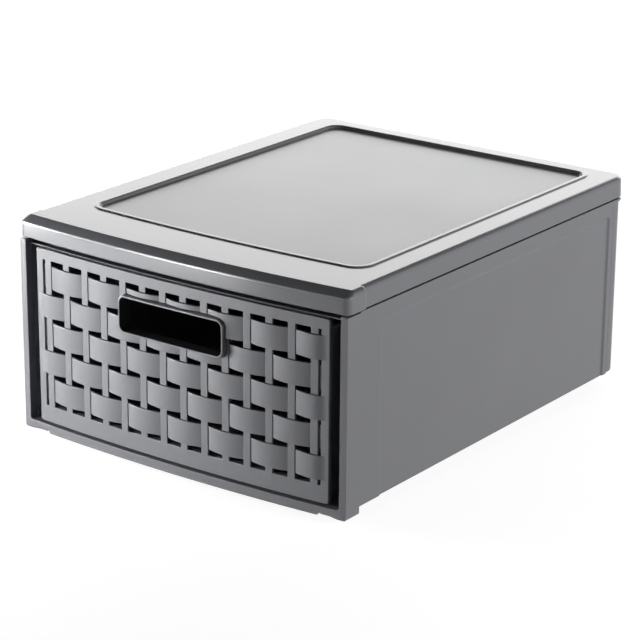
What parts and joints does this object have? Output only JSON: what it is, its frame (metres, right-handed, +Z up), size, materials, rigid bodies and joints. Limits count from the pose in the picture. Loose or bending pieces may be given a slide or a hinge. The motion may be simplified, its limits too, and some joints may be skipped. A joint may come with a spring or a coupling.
{
  "type": "stackable drawer box",
  "caption": "Stackable storage box with one sliding drawer behind a woven-look bowed front with an open rectangular grip.",
  "frame": {"origin": "middle of the footprint, level with the underside of the stacking ring", "axes": "+X to the box's right seen from behind the front, +Y to the back, +Z up; the drawer opens along -Y"},
  "size_m": [0.32, 0.4096, 0.181],
  "materials": {
    "shell": "satin moulded polypropylene, grey",
    "weave": "satin moulded polypropylene, grey, fine brushed texture",
    "inner": "plain moulded polypropylene, dark grey",
    "grip": "satin moulded polypropylene, grey"
  },
  "bodies": {
    "case": {"top_cover": "shell", "left_side_panel": "shell", "right_side_panel": "shell", "back_panel": "shell", "base_panel": "inner", "front_frame": "shell", "left_runner": "inner", "right_runner": "inner"},
    "drawer": {"drawer_tub": "inner", "drawer_front": "weave", "grip_frame": "grip"}
  },
  "joints": [
    {"name": "drawer_slide", "type": "slide", "parent": "case", "child": "drawer", "axis": [0, -1, 0], "range_m": [0, 0.29]}
  ]
}
